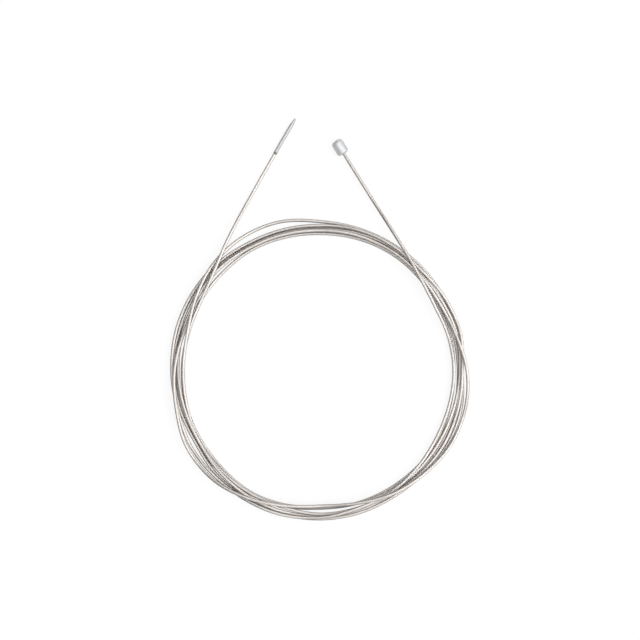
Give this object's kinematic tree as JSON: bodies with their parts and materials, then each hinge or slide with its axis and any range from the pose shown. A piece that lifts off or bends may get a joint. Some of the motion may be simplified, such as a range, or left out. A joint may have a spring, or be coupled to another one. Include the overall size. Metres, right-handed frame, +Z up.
{
  "type": "shift cable",
  "caption": "Coiled stranded inner wire of a bicycle derailleur cable, with a barrel head at one end and a solder-fused tip at the other.",
  "frame": {"origin": "middle of the underside of the box of the whole cable as it lies, ends included", "axes": "+Z up from the surface that it lies on, +Y from the coil towards its two free ends, +X to the side where the head's run leaves the coil"},
  "size_m": [0.0986, 0.133, 0.0054],
  "materials": {
    "stainless_wire": "drawn stainless strands, lightly polished",
    "cast_zinc": "bright die-cast zinc",
    "tin_solder": "smooth solder over the strands"
  },
  "bodies": {
    "root": {"wire_rope": "stainless_wire", "head": "cast_zinc", "fused_tip": "tin_solder"}
  },
  "joints": []
}
